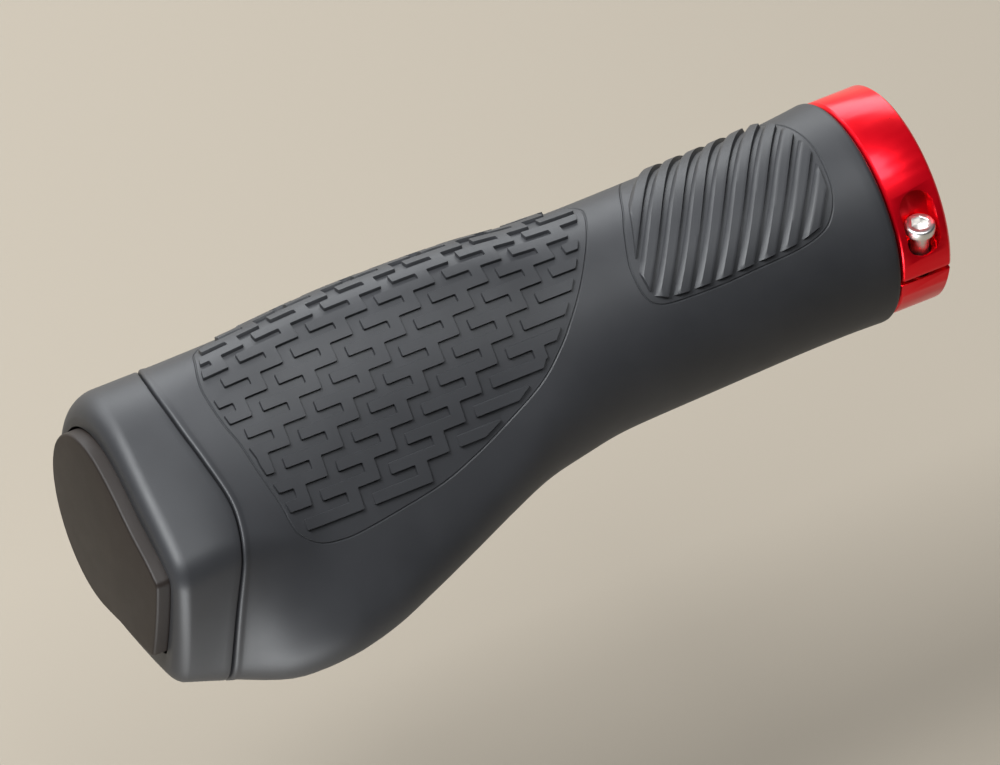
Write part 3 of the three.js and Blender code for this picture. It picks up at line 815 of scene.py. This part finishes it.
class Nodes:
    """A small helper to build node materials in order."""

    def __init__(self, name):
        self.material = bpy.data.materials.new(name)
        self.material.use_nodes = True
        self.tree = self.material.node_tree
        self.shader = self.tree.nodes["Principled BSDF"]
        self.place = self.add("ShaderNodeTexCoord").outputs["Object"]

    def add(self, kind, **values):
        node = self.tree.nodes.new(kind)
        for key, value in values.items():
            setattr(node, key, value)
        return node

    def set(self, socket, value):
        self.shader.inputs[socket].default_value = value

    def link(self, a, b):
        self.tree.links.new(a, b)

    def noise(self, scale, detail=3.0):
        node = self.add("ShaderNodeTexNoise")
        node.inputs["Scale"].default_value = scale
        node.inputs["Detail"].default_value = detail
        node.inputs["Roughness"].default_value = 0.55
        self.link(self.place, node.inputs["Vector"])
        return node.outputs["Fac"]

    def base(self, scale, dark, light):
        """A base colour that drifts a little between two colours."""
        node = self.add("ShaderNodeValToRGB")
        for element, at, colour in zip(node.color_ramp.elements, (0.3, 0.7), (dark, light)):
            element.position = at
            element.color = (*colour, 1)
        self.link(self.noise(scale), node.inputs["Fac"])
        self.link(node.outputs["Color"], self.shader.inputs["Base Color"])

    def rough(self, scale, low, high):
        """A roughness that drifts between two values."""
        node = self.add("ShaderNodeMapRange")
        node.inputs["To Min"].default_value = low
        node.inputs["To Max"].default_value = high
        self.link(self.noise(scale), node.inputs["Value"])
        self.link(node.outputs["Result"], self.shader.inputs["Roughness"])

    def grain(self, scale, strength, distance):
        """A fine bump all over the surface."""
        node = self.add("ShaderNodeBump")
        node.inputs["Strength"].default_value = strength
        node.inputs["Distance"].default_value = distance
        self.link(self.noise(scale, 2.0), node.inputs["Height"])
        self.link(node.outputs["Normal"], self.shader.inputs["Normal"])


def rubber_material(name, dark, light, strength):
    m = Nodes(name)
    m.base(60, dark, light)
    m.rough(220, 0.46, 0.54)
    m.grain(9000, strength, 0.00004)
    m.set("Specular IOR Level", 0.36)
    return m.material


def plug_material():
    m = Nodes("plug_plastic")
    # The base colour is the plug's own near-black plastic, with a brown tint painted in as a reflection of
    # the warm floor.
    m.base(90, (0.008, 0.0052, 0.004), (0.011, 0.0072, 0.0055))
    m.rough(300, 0.5, 0.58)
    m.grain(14000, 0.25, 0.00003)
    m.set("Specular IOR Level", 0.25)
    return m.material


def sleeve_material():
    m = Nodes("sleeve_plastic")
    m.base(80, (0.02, 0.02, 0.022), (0.032, 0.032, 0.034))
    m.rough(250, 0.4, 0.5)
    return m.material


def ring_material():
    m = Nodes("ring_anodised")
    m.base(120, (0.86, 0.001, 0.010), (0.92, 0.002, 0.014))
    m.rough(500, 0.26, 0.32)
    m.set("Metallic", 0.8)
    m.set("Coat Weight", 0.15)
    m.set("Coat Roughness", 0.15)
    return m.material


def bolt_material():
    m = Nodes("bolt_steel")
    m.base(400, (0.66, 0.65, 0.63), (0.78, 0.77, 0.75))
    m.rough(1500, 0.3, 0.4)
    m.set("Metallic", 1.0)
    return m.material


def dress(obj, material):
    obj.data.materials.clear()
    obj.data.materials.append(material)


def soften(node, width, segments=2):
    """Rounds a CAD node's sharp edges for the picture."""
    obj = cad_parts[node]
    shade(obj, 30)
    weld = obj.modifiers.new("weld", "WELD")
    weld.merge_threshold = 2e-6
    bevel = obj.modifiers.new("bevel", "BEVEL")
    bevel.width = width * MM
    bevel.segments = segments
    bevel.limit_method = "ANGLE"
    bevel.angle_limit = math.radians(32)
    bevel.use_clamp_overlap = True
    bevel.harden_normals = True
    return obj


RUBBER = (0.0165, 0.0168, 0.0185), (0.0225, 0.0229, 0.0252)
SHELL = (0.0155, 0.0158, 0.0174), (0.0205, 0.0209, 0.0230)

rubber = rubber_body()
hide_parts("grip_rubber")
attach(rubber, "root")
dress(rubber, rubber_material("grip_rubber_skin", *RUBBER, 0.3))

cap = end_cap()
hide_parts("end_shell")
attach(cap, "root")
dress(cap, rubber_material("end_shell_skin", *SHELL, 0.25))

plug = bung()
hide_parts("end_plug")
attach(plug, "root")
dress(plug, plug_material())

dress(soften("core_sleeve", 0.1), sleeve_material())
dress(soften("clamp_ring", 0.12), ring_material())
dress(soften("clamp_bolt", 0.08), bolt_material())

# Stage, light and camera

FLOOR_DROP = 0.09  # the grip floats this far above the floor
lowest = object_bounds()[0][2]
bpy.ops.mesh.primitive_plane_add(size=40, location=(0, 0, lowest - FLOOR_DROP))
floor = bpy.context.object
floor.name = "floor"


def pale_material(name, seen, lit):
    """A surface that takes light and shadow, and is pale to the camera and in reflections."""
    m = Nodes(name)
    ray = m.add("ShaderNodeLightPath")
    colour = m.add("ShaderNodeMix", data_type="RGBA")
    colour.inputs["A"].default_value = (*lit, 1)
    colour.inputs["B"].default_value = (*seen, 1)
    seen_by = ray.outputs["Is Camera Ray"]
    for other in ("Is Glossy Ray", "Is Transmission Ray"):
        either = m.add("ShaderNodeMath", operation="MAXIMUM")
        m.link(seen_by, either.inputs[0])
        m.link(ray.outputs[other], either.inputs[1])
        seen_by = either.outputs[0]
    m.link(seen_by, colour.inputs["Factor"])
    m.link(colour.outputs["Result"], m.shader.inputs["Base Color"])
    m.set("Roughness", 0.9)
    return m.material


FLOOR_SEEN = (0.222, 0.193, 0.154)
FLOOR_LIT = (0.025, 0.02, 0.015)
floor.data.materials.append(pale_material("floor_pale", FLOOR_SEEN, FLOOR_LIT))

world = bpy.context.scene.world or bpy.data.worlds.new("studio")
bpy.context.scene.world = world
world.use_nodes = True
background = world.node_tree.nodes["Background"]
background.inputs["Color"].default_value = (0.92, 0.94, 1.0, 1)
background.inputs["Strength"].default_value = 0.05


DAYLIGHT = (0.95, 0.98, 1.0)


def area_light(name, place, target, size, power):
    light = bpy.data.lights.new(name, "AREA")
    light.shape = "RECTANGLE"
    light.size, light.size_y = size
    light.energy = power
    light.color = DAYLIGHT
    obj = bpy.data.objects.new(name, light)
    obj.location = place
    aim = Vector(target) - Vector(place)
    obj.rotation_euler = aim.to_track_quat("-Z", "Y").to_euler()
    bpy.context.scene.collection.objects.link(obj)
    return obj


middle = (-0.07, 0, 0)
area_light("key", (-0.30, 0.42, 0.58), middle, (0.4, 0.3), 3.5)
area_light("front", (0.02, 0.75, 0.24), middle, (1.2, 0.4), 9)
area_light("top", (-0.46, 0.08, 0.74), middle, (0.3, 0.25), 12)
area_light("fill", (-0.06, -0.16, 0.85), middle, (0.5, 0.4), 5.5)
low = area_light("low", (-0.185, -0.125, -0.06), (-0.13, -0.027, -0.002), (0.10, 0.06), 0.3)
low.visible_camera = False

# The camera looks against BACK, and RIGHT points to the right of the view.
BACK = Vector((-0.338, -0.539, 0.772))
RIGHT = Vector((0.876, -0.480, 0.048))
FROM_PLUG = (0.06143, 0.01867)  # the view's middle, right of and above the plug's face
VIEW_WIDTH = 0.14925
DISTANCE = 3.0

scene = bpy.context.scene
back = BACK.normalized()
up = back.cross(RIGHT.normalized()).normalized()
right = up.cross(back).normalized()
centre = Vector((-LENGTH * MM, 0, 0)) + right * FROM_PLUG[0] + up * FROM_PLUG[1]
camera = bpy.data.cameras.new("camera")
camera.sensor_width = 36
camera.lens = camera.sensor_width * DISTANCE / VIEW_WIDTH
camera.clip_end = 100
view = bpy.data.objects.new("camera", camera)
place = centre + back * DISTANCE
view.matrix_world = Matrix(
    (
        (right.x, up.x, back.x, place.x),
        (right.y, up.y, back.y, place.y),
        (right.z, up.z, back.z, place.z),
        (0, 0, 0, 1),
    )
)
scene.collection.objects.link(view)
scene.camera = view
scene.view_settings.view_transform = "Standard"
